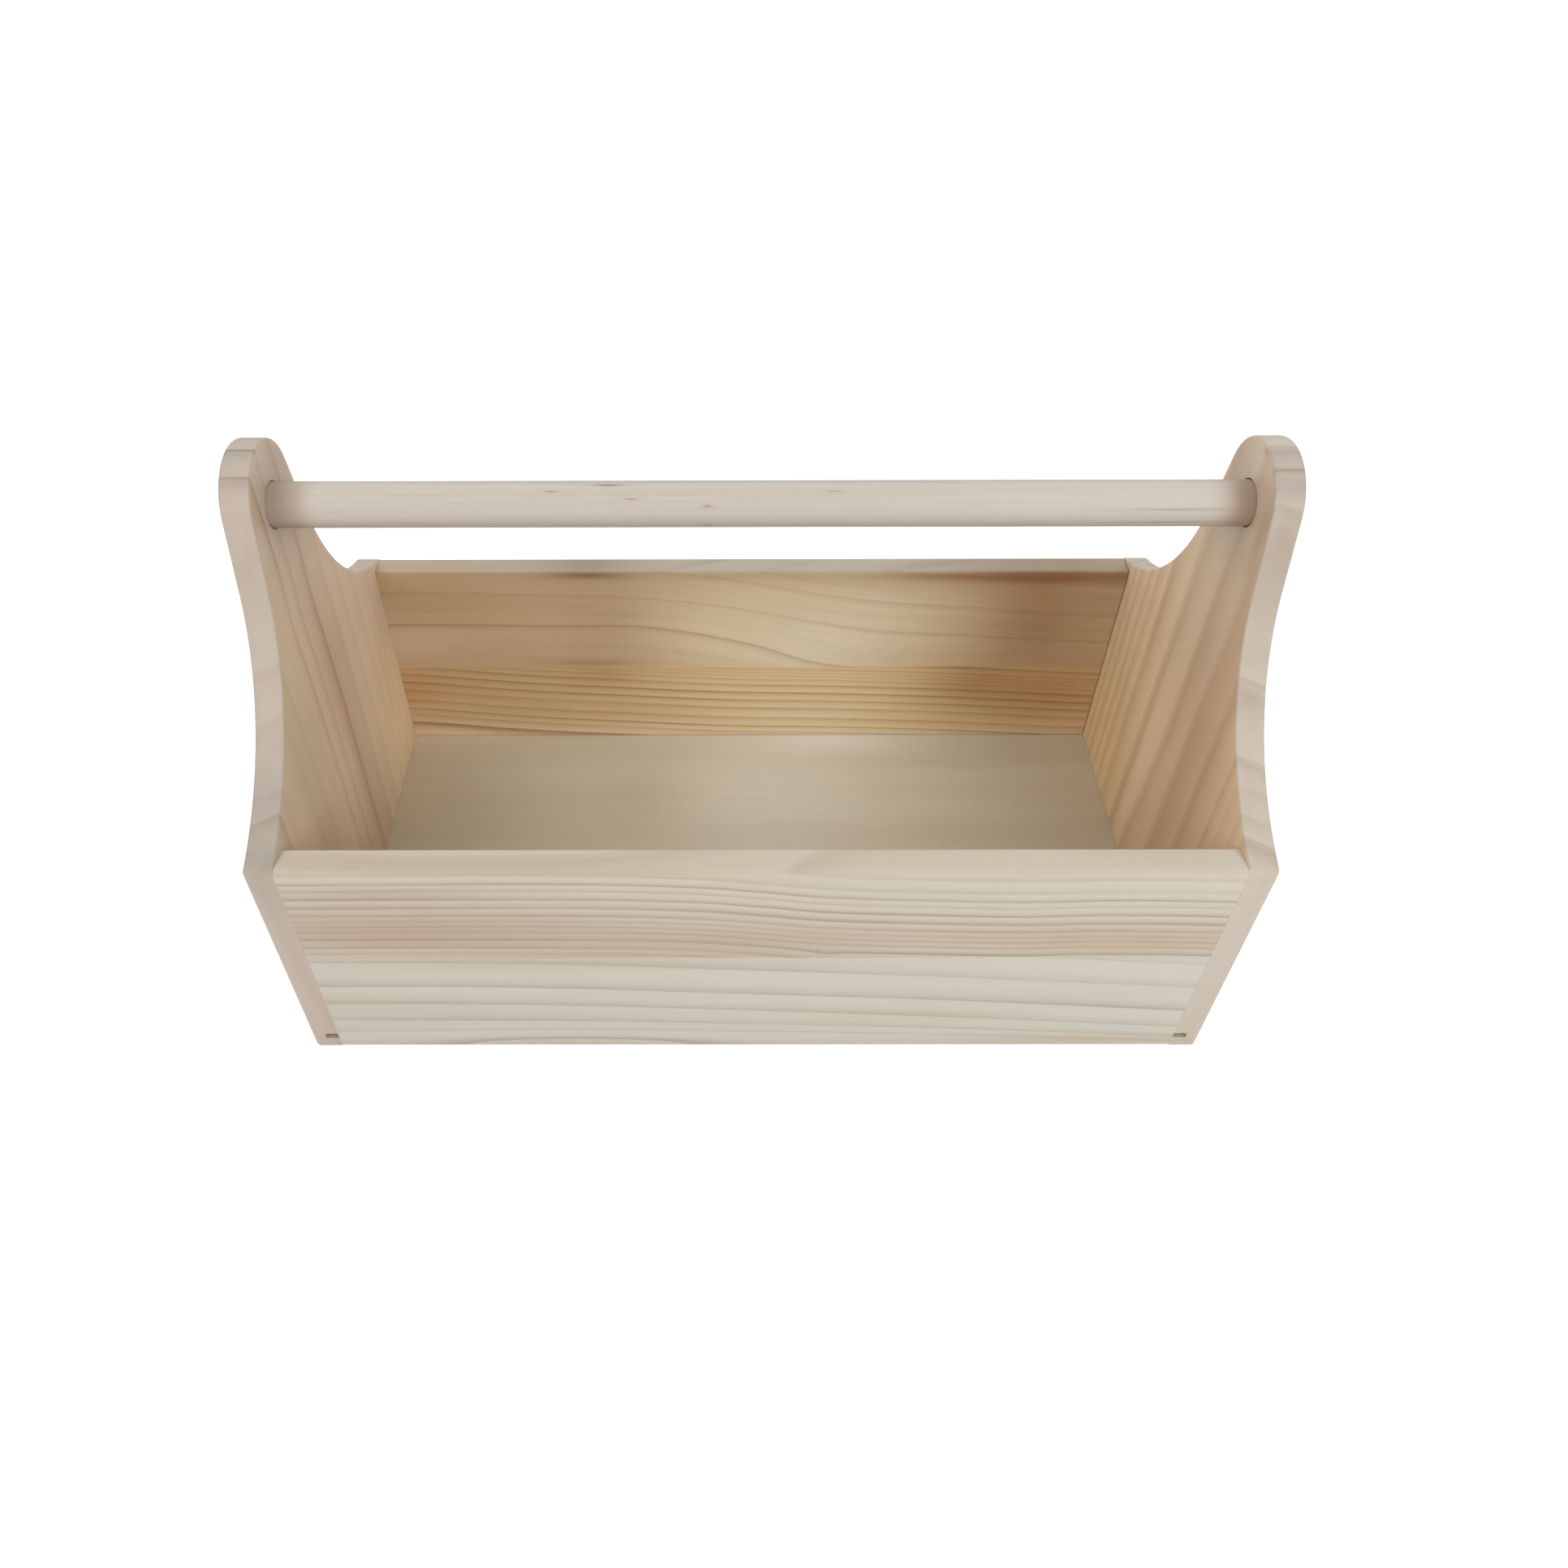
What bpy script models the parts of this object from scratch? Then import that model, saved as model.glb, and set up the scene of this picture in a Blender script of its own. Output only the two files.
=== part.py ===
"""Wooden carrying caddy.

Two shaped end panels stand at the ends of a long tray. The front and back panels are each
edge-glued from two staves, the floor slides in a groove that runs round the inside, and a
round dowel between the heads is the handle. Hidden pins hold the staves to the end panels.

Run it with: blender --background --python part.py

Units are metres. +X runs along the handle, -Y is the front and +Z is up. The origin lies
under the middle of the caddy, on the surface that it stands on.
"""

from math import atan2, cos, pi, radians, sin, tan

import bmesh
import bpy
from mathutils import Matrix, Vector

# The caddy as a whole
LENGTH = 0.400
DEPTH = 0.200
BOARD = 0.012
SIDE_HEIGHT = 0.1255

# The shaped end panels: a round head, a straight neck that widens downwards, and a hollow shoulder
TOP_HEIGHT = 0.253
HEAD_RADIUS = 0.023
NECK_SLOPE = radians(11.5)
NECK_LENGTH = 0.030
CORNER_RADIUS = 0.003

# Softened edges: outside ones are rounded over, inside ones only broken
OUTSIDE_ROUND = 0.0022
INSIDE_ROUND = 0.0008

# Glue lines of the front and back panels, above the ground
FRONT_GLUE_HEIGHT = 0.069
BACK_GLUE_HEIGHT = 0.061

# The floor sheet and the grooves that hold it
FLOOR_THICKNESS = 0.003
FLOOR_HEIGHT = 0.0065
GROOVE_DEPTH = 0.006

# The handle, whose axis lies a little below the centre of the heads
HANDLE_DIAMETER = 0.018
HANDLE_DROP = 0.003
HANDLE_CHAMFER = 0.0008

# The joint pins, one in each end of each stave
PIN_DIAMETER = 0.006
PIN_CHAMFER = 0.0005
PIN_REACH = 0.016

# Wood left behind each blind bore in an end panel
BORE_WALL = 0.004

# The gap between two pieces that touch
FIT = 0.0003

# How finely the round shapes are cut
HEAD_STEPS = 14
SHOULDER_STEPS = 14
CORNER_STEPS = 3
ROUND_STEPS = 3
HANDLE_SIDES = 40
PIN_SIDES = 20

# Places worked out from the sizes above
INNER_LENGTH = LENGTH - 2 * BOARD
INNER_DEPTH = DEPTH - 2 * BOARD
HEAD_CENTRE = TOP_HEIGHT - HEAD_RADIUS
HANDLE_HEIGHT = HEAD_CENTRE - HANDLE_DROP
BORE_DEPTH = BOARD - BORE_WALL
OVERCUT = BOARD

# Which way a board faces from the middle of the caddy
FRONT = -1
BACK = 1
LEFT = -1
RIGHT = 1


def clear_scene():
    """Remove everything that the opened file holds."""
    for item in list(bpy.data.objects):
        bpy.data.objects.remove(item, do_unlink=True)


def screen_colour(red, green, blue):
    """Turn a colour as a screen shows it, 0 to 255, into Blender's linear values."""
    channels = []
    for level in (red, green, blue):
        share = level / 255
        channels.append(share / 12.92 if share <= 0.04045 else ((share + 0.055) / 1.055) ** 2.4)
    return (*channels, 1.0)


def finish(name, colour, roughness):
    """Make the plain material of one sub-part."""
    material = bpy.data.materials.new(name)
    material.use_nodes = True
    shader = material.node_tree.nodes["Principled BSDF"]
    shader.inputs["Base Color"].default_value = colour
    shader.inputs["Roughness"].default_value = roughness
    shader.inputs["Metallic"].default_value = 0.0
    material.diffuse_color = colour
    return material


def new_piece(name, mesh, material, parent):
    """Put a mesh in the scene as a named piece of the caddy."""
    piece = bpy.data.objects.new(name, mesh)
    bpy.context.scene.collection.objects.link(piece)
    piece.parent = parent
    mesh.materials.append(material)
    return piece


def cutter(name, build):
    """Make a hidden object that only cuts others. build fills its bmesh in world space."""
    shape = bmesh.new()
    build(shape)
    bmesh.ops.recalc_face_normals(shape, faces=shape.faces)
    mesh = bpy.data.meshes.new(name)
    shape.to_mesh(mesh)
    shape.free()
    tool = bpy.data.objects.new(name, mesh)
    bpy.context.scene.collection.objects.link(tool)
    tool.hide_render = True
    tool.display_type = "WIRE"
    return tool


def cut(piece, tool):
    """Take the tool's shape out of a piece."""
    boolean = piece.modifiers.new(tool.name, "BOOLEAN")
    boolean.operation = "DIFFERENCE"
    boolean.solver = "EXACT"
    boolean.object = tool


def block(shape, low, high):
    """Add a box between two corners."""
    size = Vector(high) - Vector(low)
    middle = (Vector(high) + Vector(low)) / 2
    placing = Matrix.Translation(middle) @ Matrix.Diagonal((*size, 1.0))
    bmesh.ops.create_cube(shape, size=1.0, matrix=placing)


def rod(shape, start, stop, height, depth_place, radius, sides):
    """Add a round bar along X from start to stop, and return its vertices."""
    middle = Vector(((start + stop) / 2, depth_place, height))
    placing = Matrix.Translation(middle) @ Matrix.Rotation(pi / 2, 4, "Y")
    made = bmesh.ops.create_cone(
        shape, cap_ends=True, segments=sides, radius1=radius, radius2=radius,
        depth=abs(stop - start), matrix=placing)
    return made["verts"]


def arc(centre, radius, start, stop, steps):
    """List the points of an arc, both ends included, in the panel's own plane."""
    angles = [start + (stop - start) * step / steps for step in range(steps + 1)]
    return [centre + radius * Vector((cos(angle), sin(angle))) for angle in angles]


def fillet(corner, arriving, leaving, radius):
    """List the points that round a convex corner between two edge directions.

    arriving points from the corner back along the first edge and leaving along the second.
    """
    half = arriving.angle(leaving) / 2
    reach = radius / tan(half)
    centre = corner + (arriving.normalized() + leaving.normalized()).normalized() * radius / sin(half)
    spoke = corner + arriving.normalized() * reach - centre
    first = atan2(spoke.y, spoke.x)
    return arc(centre, radius, first, first + pi - 2 * half, CORNER_STEPS)


def shoulder_circle(top_corner):
    """Find the centre and the radius of the hollow shoulder.

    Its circle touches the lower end of the neck and passes through the top corner of the
    side panels. The neck itself touches the head's circle.
    """
    outward = Vector((cos(NECK_SLOPE), sin(NECK_SLOPE)))
    down = Vector((sin(NECK_SLOPE), -cos(NECK_SLOPE)))
    neck_end = Vector((0.0, HEAD_CENTRE)) + HEAD_RADIUS * outward + NECK_LENGTH * down
    reach = top_corner - neck_end
    radius = reach.length_squared / (2 * outward.dot(reach))
    return neck_end + radius * outward, radius


def half_outline():
    """List the end panel's outline from its bottom back corner up to the top of its head."""
    foot = Vector((DEPTH / 2, 0.0))
    top_corner = Vector((DEPTH / 2, SIDE_HEIGHT))
    shoulder_centre, radius = shoulder_circle(top_corner)
    spoke = top_corner - shoulder_centre
    along_shoulder = Vector((spoke.y, -spoke.x)).normalized()
    up = Vector((0.0, 1.0))
    half_corner = along_shoulder.angle(-up) / 2
    trimmed = CORNER_RADIUS / tan(half_corner) / radius
    corner_angle = atan2(spoke.y, spoke.x) % (2 * pi)
    points = [foot]
    points += fillet(top_corner, -up, along_shoulder, CORNER_RADIUS)
    points += arc(shoulder_centre, radius, corner_angle - trimmed, pi + NECK_SLOPE, SHOULDER_STEPS)[1:]
    points += arc(Vector((0.0, HEAD_CENTRE)), HEAD_RADIUS, NECK_SLOPE, pi / 2, HEAD_STEPS)
    return points


def end_panel_mesh():
    """Model an end panel with its inner face at x = 0 and its outer face at x = BOARD."""
    half = half_outline()
    outline = half + [Vector((-point.x, point.y)) for point in reversed(half[:-1])]
    shape = bmesh.new()
    corners = [shape.verts.new((0.0, point.x, point.y)) for point in outline]
    shape.faces.new(corners)
    grown = bmesh.ops.extrude_face_region(shape, geom=list(shape.faces))
    moved = [item for item in grown["geom"] if isinstance(item, bmesh.types.BMVert)]
    bmesh.ops.translate(shape, verts=moved, vec=(BOARD, 0.0, 0.0))
    bmesh.ops.recalc_face_normals(shape, faces=shape.faces)
    round_over(shape, lambda place: place.x > BOARD / 2, OUTSIDE_ROUND)
    round_over(shape, lambda place: abs(place.x) < FIT and place.z > SIDE_HEIGHT, INSIDE_ROUND)
    mesh = bpy.data.meshes.new("end_panel")
    shape.to_mesh(mesh)
    shape.free()
    smooth(mesh)
    return mesh


def round_over(shape, chosen, radius):
    """Round the edges whose two ends lie where chosen says."""
    edges = [edge for edge in shape.edges if all(chosen(vert.co) for vert in edge.verts)]
    bmesh.ops.bevel(
        shape, geom=edges, offset=radius, offset_type="OFFSET", segments=ROUND_STEPS,
        profile=0.5, affect="EDGES", clamp_overlap=False)


def smooth(mesh):
    """Shade the curves smooth and keep the true edges sharp."""
    mesh.shade_smooth()
    mesh.set_sharp_from_angle(angle=pi / 6)


def end_panel(name, side, material, parent):
    """Place an end panel with its inner face against the tray."""
    panel = new_piece(name, end_panel_mesh(), material, parent)
    panel.location.x = side * INNER_LENGTH / 2
    panel.rotation_euler.z = 0.0 if side == RIGHT else pi
    cut(panel, cutter(name + "_floor_groove", lambda shape: end_groove(shape, side)))
    cut(panel, cutter(name + "_handle_bore", lambda shape: handle_bore(shape, side)))
    return panel


def end_groove(shape, side):
    """The floor groove of an end panel, which runs out at both of its edges."""
    inner = side * INNER_LENGTH / 2
    xs = sorted((inner - side * OVERCUT, inner + side * GROOVE_DEPTH))
    half = DEPTH / 2 + OVERCUT
    block(shape, (xs[0], -half, groove_bottom()), (xs[1], half, groove_top()))


def groove_bottom():
    """The lower wall of the floor grooves, a fit below the sheet."""
    return FLOOR_HEIGHT - FIT


def groove_top():
    """The upper wall of the floor grooves, a fit above the sheet."""
    return FLOOR_HEIGHT + FLOOR_THICKNESS + FIT


def handle_bore(shape, side):
    """The blind bore that takes one end of the handle."""
    inner = side * INNER_LENGTH / 2
    rod(shape, inner - side * OVERCUT, inner + side * BORE_DEPTH, HANDLE_HEIGHT, 0.0,
        HANDLE_DIAMETER / 2 + FIT, HANDLE_SIDES)


def stave(name, facing, bottom, top, material, parent):
    """Model one stave of the front or back panel, from its bottom to its top height.

    The stave at the top of a panel has its two upper edges softened, and the one at the
    ground its outer lower edge and the floor groove.
    """
    length = INNER_LENGTH - 2 * FIT
    shape = bmesh.new()
    block(shape, (-length / 2, 0.0, bottom), (length / 2, BOARD, top))
    if top == SIDE_HEIGHT:
        round_over(shape, lambda place: place.y > BOARD / 2 and place.z > bottom + FIT, OUTSIDE_ROUND)
        round_over(shape, lambda place: place.y < FIT and place.z > bottom + FIT, INSIDE_ROUND)
    else:
        round_over(shape, lambda place: place.y > BOARD / 2 and place.z < top - FIT, INSIDE_ROUND)
    mesh = bpy.data.meshes.new(name)
    shape.to_mesh(mesh)
    shape.free()
    smooth(mesh)
    piece = new_piece(name, mesh, material, parent)
    piece.location.y = facing * INNER_DEPTH / 2
    piece.rotation_euler.z = 0.0 if facing == BACK else pi
    if top != SIDE_HEIGHT:
        cut(piece, cutter(name + "_floor_groove", lambda tool: side_groove(tool, facing)))
    return piece


def side_groove(shape, facing):
    """The floor groove of a side panel, which runs along its whole length."""
    inner = facing * INNER_DEPTH / 2
    ys = sorted((inner - facing * OVERCUT, inner + facing * GROOVE_DEPTH))
    half = LENGTH / 2 + OVERCUT
    block(shape, (-half, ys[0], groove_bottom()), (half, ys[1], groove_top()))


def side_panel(word, facing, glue_height, materials, parent):
    """Build the front or back panel from its two staves, which meet at the glue line."""
    lower = stave(word + "_lower_stave", facing, 0.0, glue_height - FIT / 2, materials[0], parent)
    upper = stave(word + "_upper_stave", facing, glue_height + FIT / 2, SIDE_HEIGHT, materials[1], parent)
    return {"lower": lower, "upper": upper}


def floor_panel(material, parent):
    """Model the floor sheet, a fit short of the bottom of each groove."""
    half_length = INNER_LENGTH / 2 + GROOVE_DEPTH - FIT
    half_depth = INNER_DEPTH / 2 + GROOVE_DEPTH - FIT
    shape = bmesh.new()
    block(shape, (-half_length, -half_depth, 0.0), (half_length, half_depth, FLOOR_THICKNESS))
    mesh = bpy.data.meshes.new("floor_panel")
    shape.to_mesh(mesh)
    shape.free()
    sheet = new_piece("floor_panel", mesh, material, parent)
    sheet.location.z = FLOOR_HEIGHT
    return sheet


def round_bar(name, half_length, radius, sides, chamfer, material, parent):
    """Model a bar along X with chamfered ends, about its own middle."""
    shape = bmesh.new()
    rod(shape, -half_length, half_length, 0.0, 0.0, radius, sides)
    rims = [edge for edge in shape.edges if abs(edge.verts[0].co.x - edge.verts[1].co.x) < FIT]
    bmesh.ops.bevel(
        shape, geom=rims, offset=chamfer, offset_type="OFFSET", segments=1,
        profile=0.5, affect="EDGES", clamp_overlap=False)
    mesh = bpy.data.meshes.new(name)
    shape.to_mesh(mesh)
    shape.free()
    smooth(mesh)
    return new_piece(name, mesh, material, parent)


def handle_dowel(material, parent):
    """Model the handle, which ends a fit short of the bottom of its two bores."""
    half_length = INNER_LENGTH / 2 + BORE_DEPTH - FIT
    dowel = round_bar("handle_dowel", half_length, HANDLE_DIAMETER / 2, HANDLE_SIDES,
                      HANDLE_CHAMFER, material, parent)
    dowel.location.z = HANDLE_HEIGHT
    return dowel


def joint_pin(name, side, facing, height, boards, material, parent):
    """Pin one end of a stave to its end panel, in a bore that runs into both boards."""
    joint = side * INNER_LENGTH / 2
    panel_end = joint + side * BORE_DEPTH
    stave_end = joint - side * PIN_REACH
    depth_place = facing * (INNER_DEPTH + BOARD) / 2
    bore = cutter(name + "_bore", lambda shape: rod(
        shape, stave_end, panel_end, height, depth_place, PIN_DIAMETER / 2 + FIT, PIN_SIDES))
    for board in boards:
        cut(board, bore)
    half_length = (BORE_DEPTH + PIN_REACH) / 2 - FIT
    pin = round_bar(name, half_length, PIN_DIAMETER / 2, PIN_SIDES, PIN_CHAMFER, material, parent)
    pin.location = ((panel_end + stave_end) / 2, depth_place, height)
    return pin


def joint_pins(panels, ends, material, parent):
    """Put one pin in the middle of each end of each stave."""
    heights = {
        ("front", "lower"): FRONT_GLUE_HEIGHT / 2,
        ("front", "upper"): (FRONT_GLUE_HEIGHT + SIDE_HEIGHT) / 2,
        ("back", "lower"): BACK_GLUE_HEIGHT / 2,
        ("back", "upper"): (BACK_GLUE_HEIGHT + SIDE_HEIGHT) / 2,
    }
    for (panel, row), height in heights.items():
        facing = FRONT if panel == "front" else BACK
        for hand, side in (("left", LEFT), ("right", RIGHT)):
            name = f"{panel}_{row}_{hand}_pin"
            boards = (ends[hand], panels[panel][row])
            joint_pin(name, side, facing, height, boards, material, parent)


def build_caddy():
    """Build every piece of the caddy under one empty."""
    clear_scene()
    caddy = bpy.data.objects.new("caddy", None)
    bpy.context.scene.collection.objects.link(caddy)
    pine = finish("pine_end_panel", screen_colour(196, 172, 142), 0.62)
    tight_pine = finish("pine_front_upper", screen_colour(206, 190, 165), 0.62)
    wide_pine = finish("pine_front_lower", screen_colour(212, 201, 182), 0.62)
    flowing_pine = finish("pine_back_upper", screen_colour(205, 176, 138), 0.62)
    orange_pine = finish("pine_back_lower", screen_colour(200, 163, 113), 0.62)
    sheet = finish("floor_sheet", screen_colour(196, 184, 158), 0.7)
    handle_wood = finish("handle_wood", screen_colour(218, 203, 184), 0.55)
    pin_wood = finish("pin_wood", screen_colour(214, 190, 150), 0.6)
    ends = {
        "left": end_panel("end_panel_left", LEFT, pine, caddy),
        "right": end_panel("end_panel_right", RIGHT, pine, caddy),
    }
    panels = {
        "front": side_panel("front", FRONT, FRONT_GLUE_HEIGHT, (wide_pine, tight_pine), caddy),
        "back": side_panel("back", BACK, BACK_GLUE_HEIGHT, (orange_pine, flowing_pine), caddy),
    }
    floor_panel(sheet, caddy)
    handle_dowel(handle_wood, caddy)
    joint_pins(panels, ends, pin_wood, caddy)


build_caddy()
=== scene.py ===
"""Looks of the wooden carrying caddy.

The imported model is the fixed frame. Every board, the floor sheet and the handle are modelled
again round it with softened edges, real grooves and bores, and dressed as bare pine whose
yearly lines run through the whole board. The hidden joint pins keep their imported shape.

The frame is in metres. Inside the finishes, lengths are in millimetres.
"""

from __future__ import annotations

import logging
from collections.abc import Callable, Sequence
from dataclasses import dataclass, field
from enum import Enum
from math import atan2, cos, pi, radians, sin, tan

import bmesh
import bpy
from mathutils import Matrix, Vector

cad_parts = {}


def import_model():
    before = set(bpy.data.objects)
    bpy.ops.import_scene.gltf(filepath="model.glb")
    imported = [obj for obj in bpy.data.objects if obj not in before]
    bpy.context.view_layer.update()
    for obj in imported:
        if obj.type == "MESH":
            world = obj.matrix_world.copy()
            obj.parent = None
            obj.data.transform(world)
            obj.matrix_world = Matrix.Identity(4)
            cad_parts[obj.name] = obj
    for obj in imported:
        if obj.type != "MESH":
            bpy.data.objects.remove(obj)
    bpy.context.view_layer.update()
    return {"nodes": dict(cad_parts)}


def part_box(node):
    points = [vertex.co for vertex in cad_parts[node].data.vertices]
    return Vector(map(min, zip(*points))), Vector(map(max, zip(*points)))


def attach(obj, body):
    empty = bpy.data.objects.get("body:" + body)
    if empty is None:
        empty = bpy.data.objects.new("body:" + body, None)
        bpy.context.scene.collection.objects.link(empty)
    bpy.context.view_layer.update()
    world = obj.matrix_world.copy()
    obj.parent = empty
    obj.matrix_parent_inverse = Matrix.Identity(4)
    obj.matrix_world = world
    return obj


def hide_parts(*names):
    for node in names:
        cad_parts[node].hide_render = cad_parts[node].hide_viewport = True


LOG = logging.getLogger("caddy")
BODY = "root"
MM = 0.001
# Lengths that differ by less than NEAR count as equal, and points closer than SAME as one.
NEAR = MM / 100
SAME = MM / 1000
UP = Vector((0.0, 0.0, 1.0))
BACKWARD = Vector((0.0, 1.0, 0.0))

Colour = tuple[float, float, float]
Linear = tuple[float, float, float, float]
Place = tuple[float, float, float]
Span = tuple[float, float]
Points = tuple[Span, ...]
Wanted = Callable[[Vector], bool]

WHITE: Colour = (255, 255, 255)
Z_TO_X: Place = (0.0, pi / 2, 0.0)


class Grain(Enum):
    """The way that a board's grain runs: its axis, the axis across it, and the one through it."""

    ALONG = (0, 2, 1)
    UPRIGHT = (2, 1, 0)
    FLAT = (0, 1, 2)


class Hand(Enum):
    """One end of the caddy, as the sign of its place on X."""

    LEFT = -1
    RIGHT = 1


class Facing(Enum):
    """A long side of the caddy, as the sign of its place on Y."""

    FRONT = -1
    BACK = 1


class Row(Enum):
    """One of the two strips of a long side."""

    LOWER = "lower"
    UPPER = "upper"


class Pick(Enum):
    """What a selection is made of."""

    VERTEX = "VERT"
    EDGE = "EDGE"
    FACE = "FACE"


def near(first: float, second: float) -> bool:
    """Say whether two lengths are the same but for rounding."""
    return abs(first - second) < NEAR


def screen(colour: Colour) -> Linear:
    """Turn a colour as a screen shows it into linear values.

    Args:
        colour: Red, green and blue, from 0 to 255.

    Returns:
        The linear colour with full alpha.
    """
    shares = [level / 255 for level in colour]
    linear = [share / 12.92 if share <= 0.04045 else ((share + 0.055) / 1.055) ** 2.4 for share in shares]
    return (*linear, 1.0)


class Output:
    """What one output of a shader node gives, all over the surface."""

    def __init__(self, wiring: Wiring, node: bpy.types.Node, output: str | int) -> None:
        """Hold the output and the node tree that it belongs to."""
        self.wiring = wiring
        self.socket = node.outputs[output]


class Level(Output):
    """A number that varies over a surface."""

    def __add__(self, other: Number) -> Level:
        """Add a number or another level."""
        return self.wiring.maths("ADD", self, other)

    __radd__ = __add__

    def __sub__(self, other: Number) -> Level:
        """Take a number or another level away."""
        return self.wiring.maths("SUBTRACT", self, other)

    def __rsub__(self, other: Number) -> Level:
        """Take this level away from a number."""
        return self.wiring.maths("SUBTRACT", other, self)

    def __mul__(self, other: Number) -> Level:
        """Multiply by a number or another level."""
        return self.wiring.maths("MULTIPLY", self, other)

    __rmul__ = __mul__

    def __truediv__(self, other: Number) -> Level:
        """Divide by a number or another level."""
        return self.wiring.maths("DIVIDE", self, other)

    def __rtruediv__(self, other: Number) -> Level:
        """Divide a number by this level."""
        return self.wiring.maths("DIVIDE", other, self)

    def __pow__(self, other: Number) -> Level:
        """Raise to a power."""
        return self.wiring.maths("POWER", self, other)

    def __abs__(self) -> Level:
        """Drop the sign."""
        return self.wiring.maths("ABSOLUTE", self)

    def part(self) -> Level:
        """Keep only what follows the decimal point."""
        return self.wiring.maths("FRACT", self)

    def rise(self, low: float, high: float) -> Level:
        """Climb smoothly from 0 at low to 1 at high.

        Args:
            low: Where the climb starts.
            high: Where it ends. It may be less than low, which turns the slope round.

        Returns:
            The smooth step.
        """
        inputs = {"Value": self, "From Min": low, "From Max": high}
        node = self.wiring.node("MapRange", {"interpolation_type": "SMOOTHSTEP"}, inputs)
        return Level(self.wiring, node, "Result")

    def curve(self, points: Points, smooth: bool = True) -> Level:
        """Read a curve at this level. Beyond its ends the curve runs on level.

        Args:
            points: The curve's points, in the units of this level and of the result.
            smooth: Whether the curve is rounded at its points or runs straight between them.

        Returns:
            The height of the curve.
        """
        places = [place for place, _ in points]
        heights = [height for _, height in points]
        start, length = min(places), max(places) - min(places)
        base, reach = min(heights), (max(heights) - min(heights)) or 1.0
        handle = "AUTO" if smooth else "VECTOR"
        scaled = [((place - start) / length, (height - base) / reach, handle) for place, height in points]
        node = self.wiring.node("FloatCurve", {"points": scaled}, {"Value": (self - start) / length})
        return Level(self.wiring, node, "Value") * reach + base


Number = Level | float


class Tint(Output):
    """A colour that varies over a surface."""

    def towards(self, other: Shade, amount: Number) -> Tint:
        """Mix this colour with another, from none of it at amount 0 to all of it at 1."""
        return self.wiring.mixed(self, other, amount)

    def times(self, level: Number) -> Tint:
        """Make the colour darker or lighter by a factor that may vary."""
        return self.wiring.vector_maths("SCALE", {0: self, "Scale": level})

    def glazed(self, glaze: Tint) -> Tint:
        """Tone the colour channel by channel, as a thin glaze over it does."""
        return self.wiring.vector_maths("MULTIPLY", {0: self, 1: glaze})


Shade = Tint | Linear


class Wiring:
    """The node tree of one material, and the few ways in which nodes are added to it."""

    def __init__(self, name: str) -> None:
        """Start a material with nothing but its node tree.

        Args:
            name: The material's name.
        """
        self.material = bpy.data.materials.new(name)
        self.material.use_nodes = True
        self.tree = self.material.node_tree
        self.tree.nodes.clear()

    def node(self, kind: str, settings: dict, inputs: dict) -> bpy.types.Node:
        """Add one node.

        Args:
            kind: The node's type, without the word ShaderNode that starts it.
            settings: What is set on the node itself, first of all. points shape a curve.
            inputs: The output or the plain value for each input, by its name or number.

        Returns:
            The node.
        """
        node = self.tree.nodes.new("ShaderNode" + kind)
        for key, value in settings.items():
            if key == "points":
                self.shape_curve(node.mapping, value)
            else:
                setattr(node, key, value)
        for key, value in inputs.items():
            if isinstance(value, Output):
                self.tree.links.new(value.socket, node.inputs[key])
            else:
                node.inputs[key].default_value = value
        return node

    @staticmethod
    def shape_curve(mapping: bpy.types.CurveMapping, points: Sequence[tuple[float, float, str]]) -> None:
        """Give a curve node its points.

        Args:
            mapping: The node's curve, which starts with two points.
            points: Each point's place and height, from 0 to 1, and its kind of handle.
        """
        held = mapping.curves[0].points
        for place, height, _ in points[1:-1]:
            held.new(place, height)
        for point, (place, height, handle) in zip(held, points, strict=True):
            point.location = (place, height)
            point.handle_type = handle
        mapping.update()

    def maths(self, operation: str, *values: Number) -> Level:
        """Add a Math node that works on one or two values."""
        return Level(self, self.node("Math", {"operation": operation}, dict(enumerate(values))), "Value")

    def vector_maths(self, operation: str, inputs: dict) -> Tint:
        """Add a Vector Math node that works on a colour."""
        return Tint(self, self.node("VectorMath", {"operation": operation}, inputs), "Vector")

    def mixed(self, first: Shade, second: Shade, amount: Number) -> Tint:
        """Add a Mix node for two colours."""
        settings = {"data_type": "RGBA", "clamp_factor": True}
        return Tint(self, self.node("Mix", settings, {0: amount, 6: first, 7: second}), 2)

    def split(self, kind: str) -> list[Level]:
        """Read the Object coordinates or the Normal of the surface as three levels."""
        apart = self.node("SeparateXYZ", {}, {0: Output(self, self.node("TexCoord", {}, {}), kind)})
        return [Level(self, apart, axis) for axis in range(3)]

    def finish(self, colour: Tint, rough: Number, relief: Level, depth: float) -> bpy.types.Material:
        """Close the material with a matt surface.

        Args:
            colour: The base colour.
            rough: The roughness.
            relief: The height of the fine relief, from about 0 to 1.
            depth: What a relief of 1 stands for, in metres.

        Returns:
            The material.
        """
        bump = Output(self, self.node("Bump", {}, {"Height": relief, "Distance": depth}), "Normal")
        surface = self.node("BsdfPrincipled", {}, {"Base Color": colour, "Roughness": rough, "Normal": bump})
        self.node("OutputMaterial", {}, {"Surface": Output(self, surface, "BSDF")})
        return self.material


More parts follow.
